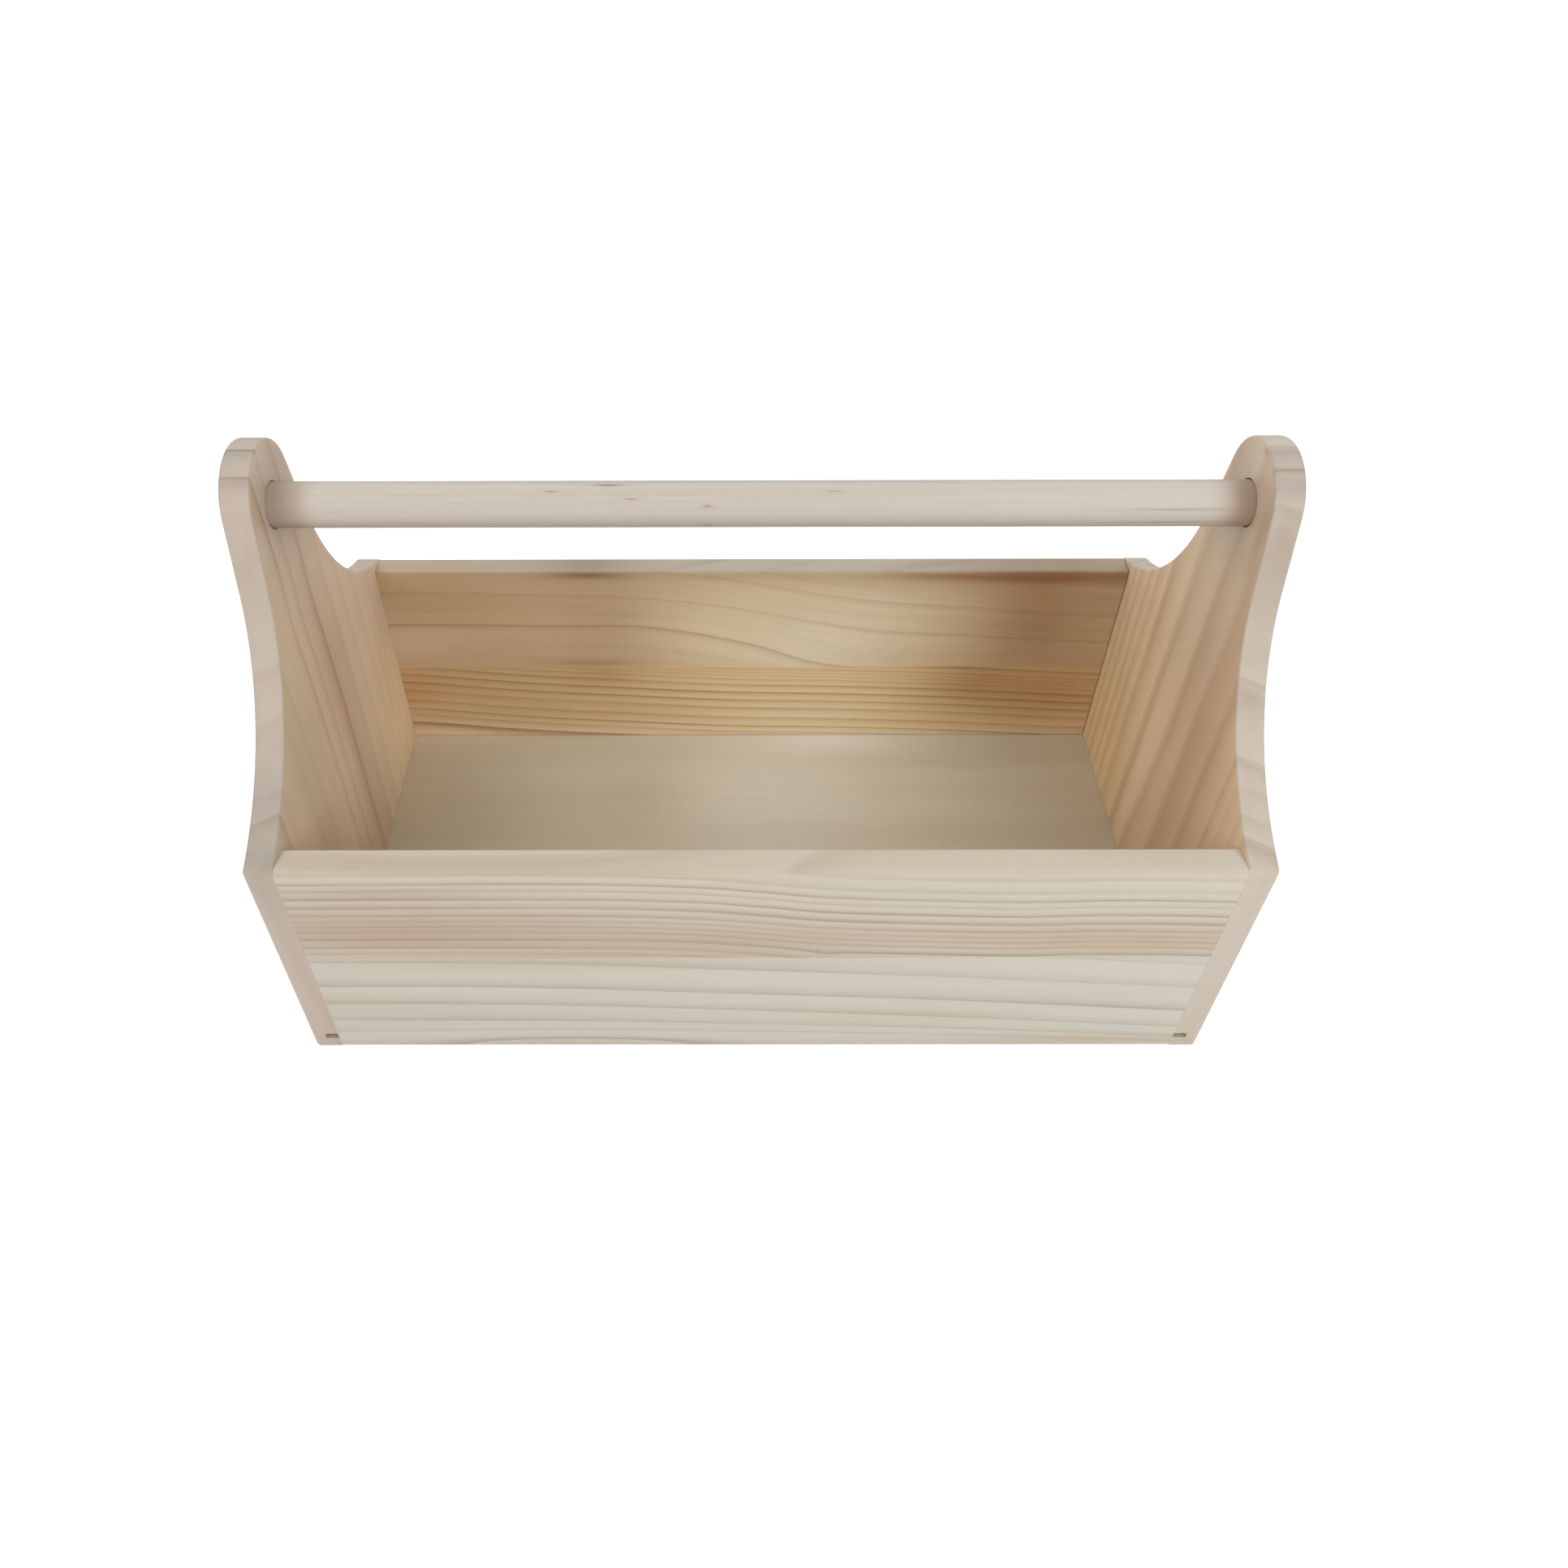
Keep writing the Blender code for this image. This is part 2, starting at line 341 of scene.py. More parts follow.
@dataclass(frozen=True)
class Pattern:
    """A soft random pattern, which lies about 0 and mostly within 0.5 of it.

    size is the size of its blots along, across and through the wood, in millimetres. shift sets
    it apart from the board's other patterns, and detail is how many finer layers it has.
    """

    size: Place
    shift: float
    detail: float = 1.0

    def over(self, place: Sequence[Level], seed: float) -> Level:
        """Spread the pattern over a board.

        Args:
            place: The three coordinates, in millimetres.
            seed: The board's own shift of all its patterns.

        Returns:
            The pattern.
        """
        wiring = place[0].wiring
        shift = seed + self.shift
        scaled = {axis: place[axis] / self.size[axis] + shift for axis in range(3)}
        vector = Output(wiring, wiring.node("CombineXYZ", {}, scaled), "Vector")
        inputs = {"Vector": vector, "Scale": 1.0, "Detail": self.detail, "Roughness": 0.5}
        noise = wiring.node("TexNoise", {"noise_dimensions": "3D"}, inputs)
        return (Level(wiring, noise, 0) - 0.5) * 2.0


WIDE_WAVER = Pattern((130.0, 24.0, 24.0), 0.0)
FINE_WAVER = Pattern((26.0, 7.0, 7.0), 3.1)
FIBRE = Pattern((34.0, 0.55, 0.55), 7.3, 3.0)
STREAK = Pattern((120.0, 2.4, 2.4), 11.9, 2.0)
PORE = Pattern((7.0, 0.2, 0.2), 17.7)
UNEVEN_LINES = Pattern((110.0, 9.0, 9.0), 23.3, 2.0)
BROAD_TONE = Pattern((210.0, 17.0, 17.0), 31.1, 3.0)
RAY = Pattern((0.5, 16.0, 5.0), 41.3)
FLOOR_MOTTLE = Pattern((90.0, 90.0, 90.0), 2.0, 2.0)


@dataclass(frozen=True)
class Spot:
    """An oval on a board, in millimetres along and across its grain.

    It is soft where firm is 1. The higher firm is, the evener it is inside and the sooner it ends.
    """

    along: float
    across: float
    reach_along: float
    reach_across: float
    firm: float = field(default=1.0, kw_only=True)

    def nearness(self, along: Level, across: Level) -> Level:
        """Fall from 1 at the middle of the oval to a quarter at its rim, and on to 0.

        Args:
            along: The place along the grain.
            across: The place across it.

        Returns:
            How near the place is.
        """
        far = ((along - self.along) / self.reach_along) ** 2.0
        far = (far + ((across - self.across) / self.reach_across) ** 2.0) ** self.firm
        return 1.0 / ((far + 1.0) * (far + 1.0))


@dataclass(frozen=True)
class Swell(Spot):
    """A spot where the lines swing aside by shift millimetres, as they do round a knot."""

    shift: float


@dataclass(frozen=True)
class Tone(Spot):
    """A spot of another colour. Some spots are marks in the wood, others are painted light and
    painted shade. amount is how much of it shows at the middle.
    """

    colour: Colour
    amount: float

    def cover(self, along: Level, across: Level, inner: Level) -> Level:
        """Work out how much of the colour shows, where inner is 1 on the inner face only."""
        return self.nearness(along, across) * self.amount


@dataclass(frozen=True)
class InnerTone(Tone):
    """A tone that shows on the board's inner face only."""

    def cover(self, along: Level, across: Level, inner: Level) -> Level:
        """Work out how much of the colour shows, where inner is 1 on the inner face only."""
        return super().cover(along, across, inner) * inner


@dataclass(frozen=True)
class Growth:
    """How the tree's yearly lines run through one board. Lengths are in millimetres.

    lines gives each line's home across the board, where the drift is nought, and its strength.
    outward is 1 where the wood darkens towards greater places and pales at once past the line,
    and -1 where it is the other way round. drift is how far the lines have moved aside along
    the grain, and fan the homes between which they start to follow it. lean and spread say how
    the lines move aside through the thickness. waver is how far they stray at random, with
    fine_share of that in short waves.
    """

    lines: Points
    grain: Grain = Grain.ALONG
    outward: int = 1
    drift: Points = ((-1.0, 0.0), (1.0, 0.0))
    fan: Span | None = None
    swells: tuple[Swell, ...] = ()
    lean: float = 0.0
    spread: float = 0.0
    waver: float = 0.5
    fine_share: float = 0.3

    def homes(self, along: Level, across: Level, depth: Level, seed: float) -> Level:
        """Work out where a point of the board would lie if its lines ran straight.

        Args:
            along: The place along the grain.
            across: The place across it.
            depth: The depth below the face that shows.
            seed: The board's own shift of its random patterns.

        Returns:
            The home across the board.
        """
        drift = along.curve(self.drift)
        if self.fan:
            drift = drift * (across - drift).rise(*self.fan)
        home = (across - drift) * (1.0 - depth * self.spread) - depth * self.lean
        for swell in self.swells:
            home = home - swell.nearness(along, across) * swell.shift
        wide = WIDE_WAVER.over((along, home, depth), seed)
        fine = FINE_WAVER.over((along, home, depth), seed)
        return home + wide * self.waver + fine * (self.waver * self.fine_share)

    def phase(self, home: Level) -> Level:
        """Work out how far a point lies through its year's growth.

        Args:
            home: The home across the board.

        Returns:
            The share of the year, from 0 to 1.
        """
        ordered = sorted(place * self.outward for place, _ in self.lines)
        counted = tuple((place, year) for year, place in enumerate(ordered))
        return (home * self.outward).curve(counted, smooth=False).part()

    def strength(self, home: Level) -> Level:
        """Read how strong the line nearby is."""
        return home.curve(self.lines, smooth=False)


@dataclass(frozen=True)
class Surface:
    """How bare wood takes its fine patterns.

    A span gives the readings between which something sets in: for the ends and the broad faces
    they are the normal's share, for a pore the noise, for the outer face the distance from it in
    millimetres, and for the thin line the share of the year. The other fields say how much a
    pattern changes the colour (tone), the late wood (dark), the roughness (rough) or the relief,
    and warm_mix how far the broad tone goes from the pale to the warm colour.
    """

    end_span: Span = (0.35, 0.95)
    broad_span: Span = (0.85, 0.99)
    pore_span: Span = (0.42, 0.7)
    outer_span: Span = (5.0, 3.0)
    line_start: Span = (0.9, 0.965)
    line_stop: Span = (1.0, 0.985)
    fibre_tone: float = 0.05
    ray_tone: float = 0.035
    pore_tone: float = 0.10
    end_tone: float = 0.06
    warm_mix: float = 0.9
    uneven_dark: float = 0.55
    streak_dark: float = 0.4
    fibre_rough: float = 0.07
    late_rough: float = 0.07
    end_rough: float = 0.12
    fibre_relief: float = 0.35
    late_relief: float = 0.35
    pore_relief: float = 0.6
    relief_depth: float = 0.04 * MM


SURFACE = Surface()


@dataclass(frozen=True)
class Timber:
    """The finish of one piece of bare wood. Colours are as a screen shows them, 0 to 255.

    contrast, sharpness and edge shape the late wood, and line adds the thin line at its end.
    streaks says how much the long streaks change the colour.
    rim and outside hold the factors by which the board's narrow sides and its outer face are painted
    darker than its inner face: painted light and shade, which stands in for how differently each face
    is lit. Depths are measured from face, the place of the face that shows, in the direction of inward,
    and outer_depth is the outer face's own depth.
    """

    name: str
    growth: Growth
    pale: Colour
    warm: Colour
    late: Colour
    contrast: float = 0.8
    sharpness: float = 4.0
    edge: float = 0.9
    line: float = 0.0
    streaks: float = 0.045
    # rim and outside are painted light and shade: factors that darken the narrow sides and the outer face.
    rim: Colour = (1.0, 1.0, 1.0)
    outside: Colour = (1.0, 1.0, 1.0)
    outer_depth: float = 12.0
    tones: tuple[Tone, ...] = ()
    face: float = 0.0
    inward: float = 1.0
    rough: float = 0.62
    seed: float = 0.0

    def material(self) -> bpy.types.Material:
        """Wire the finish.

        Returns:
            The material.
        """
        wiring = Wiring(self.name)
        lengthwise, crosswise, through = self.growth.grain.value
        here = [level / MM for level in wiring.split("Object")]
        along, across = here[lengthwise], here[crosswise]
        depth = (here[through] - self.face) * self.inward
        home = self.growth.homes(along, across, depth, self.seed)
        board = (along, home, depth)
        normal = [abs(level) for level in wiring.split("Normal")]
        end = normal[lengthwise].rise(*SURFACE.end_span)
        broad = normal[through].rise(*SURFACE.broad_span)
        fibre = FIBRE.over(board, self.seed)
        streak = STREAK.over(board, self.seed)
        pore = PORE.over(board, self.seed).rise(*SURFACE.pore_span)
        ray = RAY.over(board, self.seed)
        outer = abs(depth - self.outer_depth).rise(*SURFACE.outer_span)
        dark = self.darkness(board, streak)
        colour = self.colour(board, across, dark, broad * (1.0 - outer))
        tone = 1.0 + fibre * SURFACE.fibre_tone + streak * self.streaks + ray * SURFACE.ray_tone
        colour = colour.times(tone - pore * SURFACE.pore_tone - end * SURFACE.end_tone)
        # Painted light and shade: rim and outside darken the narrow sides and the outer face, in place of how
        # each face is lit.
        faces = wiring.mixed((1.0, 1.0, 1.0, 1.0), (*self.outside, 1.0), outer)
        colour = colour.glazed(wiring.mixed((*self.rim, 1.0), faces, broad))
        rough = self.rough + fibre * SURFACE.fibre_rough - dark * SURFACE.late_rough + end * SURFACE.end_rough
        relief = 0.5 + fibre * SURFACE.fibre_relief + dark * SURFACE.late_relief - pore * SURFACE.pore_relief
        return wiring.finish(colour, rough, relief, SURFACE.relief_depth)

    def darkness(self, board: Sequence[Level], streak: Level) -> Level:
        """Work out how dark the late wood is at a point.

        Args:
            board: The place along the grain, its home across it, and its depth.
            streak: The board's long streaks, which make the lines uneven.

        Returns:
            The darkness, from 0 to about 1.
        """
        home = board[1]
        phase = self.growth.phase(home)
        band = phase ** self.sharpness * phase.rise(1.0, self.edge)
        if self.line:
            thin = phase.rise(*SURFACE.line_start) * phase.rise(*SURFACE.line_stop)
            band = band + thin * self.growth.strength(home) * self.line
        uneven = UNEVEN_LINES.over(board, self.seed)
        strong = band * self.growth.strength(home)
        return strong * (1.0 + uneven * SURFACE.uneven_dark + streak * SURFACE.streak_dark)

    def colour(self, board: Sequence[Level], across: Level, dark: Level, inner: Level) -> Tint:
        """Mix the wood's colours and its tones, some of which are painted light and shade.

        Args:
            board: The place along the grain, its home across it, and its depth.
            across: The place across the board.
            dark: The darkness of the late wood.
            inner: 1 on the board's inner face and 0 elsewhere.

        Returns:
            The colour without its finest streaks.
        """
        broad = BROAD_TONE.over(board, self.seed)
        share = broad * SURFACE.warm_mix + 0.5
        colour = dark.wiring.mixed(screen(self.pale), screen(self.warm), share)
        for tone in self.tones:
            colour = colour.towards(screen(tone.colour), tone.cover(board[0], across, inner))
        return colour.towards(screen(self.late), dark * self.contrast)


def clear() -> None:
    """Leave edit mode and let go of everything that is selected."""
    if bpy.context.object and bpy.context.object.mode != "OBJECT":
        bpy.ops.object.mode_set(mode="OBJECT")
    bpy.ops.object.select_all(action="DESELECT")


def settle(name: str, size: Place = (1.0, 1.0, 1.0)) -> bpy.types.Object:
    """Name the new primitive, and put its place, turn and size in its mesh.

    Args:
        name: The name of the object and its mesh.
        size: How far it is stretched along its own axes.

    Returns:
        The new object.
    """
    piece = bpy.context.object
    piece.name = name
    piece.data.name = name
    piece.scale = size
    bpy.ops.object.transform_apply(location=True, rotation=True, scale=True)
    return piece


def rod(name: str, start: Place, stop: Place, radius: float, sides: int) -> bpy.types.Object:
    """Add a round cutter along X.

    Args:
        name: Its name.
        start: The middle of one end.
        stop: The middle of the other.
        radius: Its radius.
        sides: How many sides it has.

    Returns:
        The cutter.
    """
    clear()
    middle = (Vector(start) + Vector(stop)) / 2
    bpy.ops.mesh.primitive_cylinder_add(
        vertices=sides, radius=radius, depth=abs(stop[0] - start[0]), location=middle, rotation=Z_TO_X)
    return settle(name)


@dataclass(frozen=True)
class Rounding:
    """A rounded edge: its radius in metres, and the number of steps it is made in."""

    radius: float
    steps: int


class Workpiece:
    """A piece on the bench, and the steps that shape it with Blender's own operators.

    Edges below the angle smooth_below are shaded smooth. flat_weight keeps the flat faces flat.
    """

    piece: bpy.types.Object
    smooth_below: float = radians(32)
    flat_weight: int = 60

    def take(self) -> None:
        """Select the piece alone, out of edit mode, and make it the active one."""
        clear()
        self.piece.select_set(True)
        bpy.context.view_layer.objects.active = self.piece

    def edit(self) -> None:
        """Open the piece alone in edit mode."""
        self.take()
        bpy.ops.object.mode_set(mode="EDIT")

    def begin(self, name: str, size: Place = (1.0, 1.0, 1.0)) -> None:
        """Take the new primitive as the piece and open it in edit mode."""
        self.piece = settle(name, size)
        self.edit()

    def pick(self, kind: Pick, wanted: Wanted) -> None:
        """Select what lies wholly where it is wanted, in edit mode.

        Args:
            kind: Whether vertices, edges or faces are selected.
            wanted: Says of a corner's place whether it is wanted.
        """
        bpy.ops.mesh.select_mode(type=kind.value)
        bpy.ops.mesh.select_all(action="DESELECT")
        shape = bmesh.from_edit_mesh(self.piece.data)
        parts = {Pick.VERTEX: shape.verts, Pick.EDGE: shape.edges, Pick.FACE: shape.faces}[kind]
        for part in parts:
            corners = [part] if kind is Pick.VERTEX else part.verts
            part.select_set(all(wanted(corner.co) for corner in corners))
        shape.select_flush_mode()
        bmesh.update_edit_mesh(self.piece.data)

    def cut_plane(self, height: float, axis: Vector) -> None:
        """Cut the piece with a plane that stands square to an axis, at a height along it."""
        bpy.ops.mesh.select_all(action="SELECT")
        bpy.ops.mesh.bisect(plane_co=axis * height, plane_no=axis, threshold=SAME)

    def round_corners(self, wanted: Wanted, rounding: Rounding) -> None:
        """Round corners of a flat outline, from the rounding's radius along both sides."""
        self.pick(Pick.VERTEX, wanted)
        self.bevel(rounding, "VERTICES")

    def round_edges(self, wanted: Wanted, rounding: Rounding) -> None:
        """Round edges of a solid."""
        self.pick(Pick.EDGE, wanted)
        self.bevel(rounding, "EDGES")

    def bevel(self, rounding: Rounding, affect: str) -> None:
        """Bevel what is selected."""
        bpy.ops.mesh.bevel(
            offset=rounding.radius, segments=rounding.steps, affect=affect, clamp_overlap=False)

    def draw_out(self, direction: Place) -> None:
        """Draw the flat outline out into a solid.

        Args:
            direction: Which way and how far.
        """
        bpy.ops.mesh.select_all(action="SELECT")
        bpy.ops.mesh.extrude_region_move(TRANSFORM_OT_translate={"value": direction})
        bpy.ops.mesh.select_all(action="SELECT")
        bpy.ops.mesh.normals_make_consistent(inside=False)

    def take_out(self, tool: bpy.types.Object) -> None:
        """Cut a tool's shape out of the piece.

        Args:
            tool: The tool, which is thrown away afterwards.
        """
        self.take()
        boolean = self.piece.modifiers.new("cut", "BOOLEAN")
        boolean.operation = "DIFFERENCE"
        boolean.solver = "EXACT"
        boolean.object = tool
        bpy.ops.object.modifier_apply(modifier=boolean.name)
        bpy.data.objects.remove(tool, do_unlink=True)

    def shade(self) -> None:
        """Shade the curves smooth, keep the true edges sharp and the flat faces flat."""
        self.take()
        bpy.ops.object.shade_smooth_by_angle(angle=self.smooth_below)
        weighted = self.piece.modifiers.new("flat_faces", "WEIGHTED_NORMAL")
        weighted.keep_sharp = True
        weighted.weight = self.flat_weight
        bpy.ops.object.modifier_apply(modifier=weighted.name)

    def dress(self, node: str, slot: str, finish: Timber) -> bpy.types.Object:
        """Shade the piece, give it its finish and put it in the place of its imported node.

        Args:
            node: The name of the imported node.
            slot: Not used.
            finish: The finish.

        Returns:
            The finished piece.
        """
        piece = self.piece
        self.shade()
        piece.data.materials.clear()
        piece.data.materials.append(finish.material())
        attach(piece, BODY)
        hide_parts(node)
        return piece


@dataclass(frozen=True)
class JointBores:
    """The blind bores of the joint pins. Lengths are in metres."""

    radius: float = 0.0033
    slack: float = 0.0006
    sides: int = 24

    def cut(self, board: Workpiece, nodes: Sequence[str]) -> None:
        """Cut the bores of some pins into a board.

        Args:
            board: The board.
            nodes: The names of the pins.
        """
        for node in nodes:
            low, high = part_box(node)
            middle = (low + high) / 2
            start = (low.x - self.slack / 2, middle.y, middle.z)
            stop = (high.x + self.slack / 2, middle.y, middle.z)
            board.take_out(rod(node + "_bore", start, stop, self.radius, self.sides))


@dataclass(frozen=True)
class Groove:
    """The floor's groove, as the floor sheet's box and its clearance give it. In metres."""

    clearance: float = 0.0003

    def heights(self) -> Span:
        """Give the heights of its lower and upper wall."""
        low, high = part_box("floor_panel")
        return low.z - self.clearance, high.z + self.clearance

    def reach(self) -> Span:
        """Give how far from the middle its bottoms lie, on X and on Y."""
        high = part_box("floor_panel")[1]
        return high.x + self.clearance, high.y + self.clearance


@dataclass
class EndPanel(Workpiece):
    """A shaped end board with its round head, hollow shoulders and straight foot. In metres.

    The inner face's edges are rounded from inside_start above the side panels' top upwards.
    """

    hand: Hand
    finish: Timber
    head_radius: float = 0.023
    neck_slope: float = radians(11.5)
    neck_length: float = 0.030
    corner: Rounding = Rounding(0.003, 6)
    outside: Rounding = Rounding(0.0022, 6)
    inside: Rounding = Rounding(0.0008, 3)
    inside_start: float = 0.0001
    head_steps: int = 64
    shoulder_steps: int = 44
    bore_slack: float = 0.0003
    bore_shift: Span = (0.0, 0.0)
    bore_sides: int = 72
    bore_ease: Rounding = Rounding(0.0003, 2)
    groove: Groove = Groove()
    bores: JointBores = JointBores()

    def build(self) -> list[bpy.types.Object]:
        """Model, cut and dress the board.

        Returns:
            The board.
        """
        word = self.hand.name.lower()
        node = f"end_panel_{word}"
        low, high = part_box(node)
        inner, outer = (low.x, high.x) if self.hand is Hand.RIGHT else (high.x, low.x)
        side_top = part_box("front_upper_stave")[1].z
        self.outline(f"{word}_end_board", inner, high, side_top)
        self.draw_out((outer - inner, 0.0, 0.0))
        start = side_top + self.inside_start
        self.round_edges(lambda at: near(at.x, outer), self.outside)
        self.round_edges(lambda at: near(at.x, inner) and at.z > start, self.inside)
        self.cut_groove(inner, high.y)
        self.cut_handle_bore(inner)
        pins = [f"{side}_{row}_{word}_pin" for side in ("front", "back") for row in ("lower", "upper")]
        self.bores.cut(self, pins)
        return [self.dress(node, "end_panel_pine", self.finish)]

    def outline(self, name: str, inner: float, high: Vector, side_top: float) -> None:
        """Draw the board's outline as one flat face on its inner side.

        The head is the upper part of a circle, and the necks leave it straight. Each shoulder
        is spun from the neck's end until it meets the line of the side panels' top.

        Args:
            name: The board's name.
            inner: Where its inner face lies on X.
            high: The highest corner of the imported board.
            side_top: The height of the side panels' top.
        """
        half_depth = high.y
        centre = high.z - self.head_radius
        clear()
        bpy.ops.mesh.primitive_circle_add(
            vertices=self.head_steps, radius=self.head_radius, fill_type="NGON",
            location=(inner, 0.0, centre), rotation=(pi / 2, 0.0, pi / 2))
        self.begin(name)
        neck_top = centre + self.head_radius * sin(self.neck_slope)
        self.cut_plane(neck_top, UP)
        self.pick(Pick.VERTEX, lambda at: at.z < neck_top - NEAR)
        bpy.ops.mesh.delete(type="VERT")
        self.pick(Pick.EDGE, lambda at: at.z < neck_top + NEAR)
        bpy.ops.mesh.delete(type="EDGE")
        outward = Vector((0.0, cos(self.neck_slope), sin(self.neck_slope)))
        down = self.neck_length * Vector((0.0, sin(self.neck_slope), -cos(self.neck_slope)))
        neck_end = Vector((inner, 0.0, centre)) + self.head_radius * outward + down
        reach = Vector((inner, half_depth, side_top)) - neck_end
        radius = reach.length_squared / (2 * outward.dot(reach))
        middle = neck_end + radius * outward
        slope = atan2(middle.y - half_depth, middle.z - side_top)
        sweep = pi / 2 - slope - self.neck_slope
        for side in (-1, 1):
            flip = Vector((1.0, side, 1.0))
            self.pick(Pick.VERTEX, lambda at, s=side: at.z < neck_top + NEAR and at.y * s > 0.0)
            bpy.ops.mesh.extrude_region_move(TRANSFORM_OT_translate={"value": down * flip})
            bpy.ops.mesh.spin(
                steps=self.shoulder_steps, angle=-side * sweep, axis=(1.0, 0.0, 0.0), center=middle * flip)
            self.pick(Pick.VERTEX, lambda at, s=side: near(at.y * s, half_depth))
            bpy.ops.mesh.extrude_region_move(TRANSFORM_OT_translate={"value": (0.0, 0.0, -side_top)})
            bpy.ops.transform.resize(value=(1.0, 1.0, 0.0), center_override=(0.0, 0.0, 0.0))
        bpy.ops.mesh.select_all(action="SELECT")
        bpy.ops.mesh.edge_face_add()
        corner_reach = self.corner.radius / tan((pi / 2 + slope) / 2)
        self.round_corners(
            lambda at: near(abs(at.y), half_depth) and at.z > NEAR, Rounding(corner_reach, self.corner.steps))

    def cut_groove(self, inner: float, half_depth: float) -> None:
        """Cut the floor's groove, which runs out at the front and at the back.

        Args:
            inner: Where the board's inner face lies on X.
            half_depth: Half its depth from front to back.
        """
        bottom, top = self.groove.heights()
        start = inner - self.hand.value * MM
        stop = self.hand.value * self.groove.reach()[0]
        clear()
        bpy.ops.mesh.primitive_cube_add(size=1.0, location=((start + stop) / 2, 0.0, (bottom + top) / 2))
        size = (abs(stop - start), 2 * half_depth + MM, top - bottom)
        self.take_out(settle(self.piece.name + "_groove", size))

    def cut_handle_bore(self, inner: float) -> None:
        """Cut the blind bore of the handle, with its rim a little eased.

        Args:
            inner: Where the board's inner face lies on X.
        """
        low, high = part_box("handle_dowel")
        sign = self.hand.value
        radius = (high.z - low.z) / 2 + self.bore_slack
        end = max(abs(low.x), abs(high.x)) + self.groove.clearance
        across, height = self.bore_shift[0], (low.z + high.z) / 2 + self.bore_shift[1]
        start = (inner - sign * MM, across, height)
        stop = (sign * end, across, height)
        self.take_out(rod(self.piece.name + "_bore", start, stop, radius, self.bore_sides))
        self.edit()
        rim = Vector((inner, across, height))
        self.round_edges(lambda at: near(at.x, inner) and near((at - rim).length, radius), self.bore_ease)


@dataclass
class Stave(Workpiece):
    """One strip of the front or back panel. Lengths are in metres."""

    facing: Facing
    row: Row
    finish: Timber
    right_gap: float
    left_gap: float = 0.00005
    glue_gap: float = 0.00002
    outside: Rounding = Rounding(0.0022, 6)
    inside: Rounding = Rounding(0.0008, 3)
    mouth: Rounding = Rounding(0.0002, 2)
    groove: Groove = Groove()
    bores: JointBores = JointBores()

    def build(self) -> bpy.types.Object:
        """Model, cut and dress the strip.

        Returns:
            The strip.
        """
        side = self.facing.name.lower()
        word = f"{side}_{self.row.value}"
        low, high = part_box(f"{word}_stave")
        glue = (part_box(f"{side}_lower_stave")[1].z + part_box(f"{side}_upper_stave")[0].z) / 2
        if self.row is Row.LOWER:
            high.z = glue - self.glue_gap / 2
        else:
            low.z = glue + self.glue_gap / 2
        inner_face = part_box("end_panel_right")[0].x
        low.x = self.left_gap - inner_face
        high.x = inner_face - self.right_gap
        self.profile(f"{word}_board", low, high)
        self.draw_out((high.x - low.x, 0.0, 0.0))
        self.bores.cut(self, [f"{word}_{hand}_pin" for hand in ("left", "right")])
        return self.dress(f"{word}_stave", f"{word}_pine", self.finish)

    def profile(self, name: str, low: Vector, high: Vector) -> None:
        """Draw the strip's cross-section at its left end.

        Args:
            name: The strip's name.
            low: Its lowest corner.
            high: Its highest corner.
        """
        clear()
        middle = (low + high) / 2
        bpy.ops.mesh.primitive_plane_add(size=1.0, location=(low.x, middle.y, middle.z), rotation=Z_TO_X)
        self.begin(name, (high.z - low.z, high.y - low.y, 1.0))
        inner, outer = (low.y, high.y) if self.facing is Facing.BACK else (high.y, low.y)
        if self.row is Row.LOWER:
            self.open_groove(inner)
            self.round_corner(outer, low.z, self.inside)
        else:
            self.round_corner(outer, high.z, self.outside)
            self.round_corner(inner, high.z, self.inside)

    def round_corner(self, across: float, height: float, rounding: Rounding) -> None:
        """Round one corner of the cross-section."""
        self.round_corners(lambda at: near(at.y, across) and near(at.z, height), rounding)

    def open_groove(self, inner: float) -> None:
        """Cut the floor's groove out of the cross-section.

        Args:
            inner: Where the strip's inner face lies on Y.
        """
        bottom, top = self.groove.heights()
        reach = self.groove.reach()[1]
        sign = self.facing.value
        for height in (bottom, top):
            self.cut_plane(height, UP)
        self.cut_plane(sign * reach, BACKWARD)
        self.pick(Pick.FACE, lambda at: bottom - NEAR < at.z < top + NEAR and at.y * sign < reach + NEAR)
        bpy.ops.mesh.delete(type="FACE")
        self.pick(Pick.EDGE, lambda at: True)
        bpy.ops.mesh.dissolve_limited(angle_limit=radians(1))
        self.round_corners(lambda at: near(at.y, inner) and bottom - NEAR < at.z < top + NEAR, self.mouth)


@dataclass
class SidePanel:
    """The front or the back panel: two strips that are glued edge to edge. In metres."""

    facing: Facing
    lower: Timber
    upper: Timber
    right_gap: float = 0.00005

    def build(self) -> list[bpy.types.Object]:
        """Build the lower and the upper strip."""
        strips = ((Row.LOWER, self.lower), (Row.UPPER, self.upper))
        return [Stave(self.facing, row, finish, self.right_gap).build() for row, finish in strips]


@dataclass
class FloorPanel(Workpiece):
    """The thin sheet in the grooves. Lengths are in metres."""

    finish: Timber
    edge: Rounding = Rounding(0.00025, 2)

    def build(self) -> list[bpy.types.Object]:
        """Model and dress the sheet.

        Returns:
            The sheet.
        """
        low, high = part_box("floor_panel")
        middle = (low + high) / 2
        clear()
        bpy.ops.mesh.primitive_plane_add(size=1.0, location=(middle.x, middle.y, low.z))
        self.begin("floor_sheet_board", (high.x - low.x, high.y - low.y, 1.0))
        self.draw_out((0.0, 0.0, high.z - low.z))
        self.round_edges(lambda at: True, self.edge)
        return [self.dress("floor_panel", "floor_sheet", self.finish)]


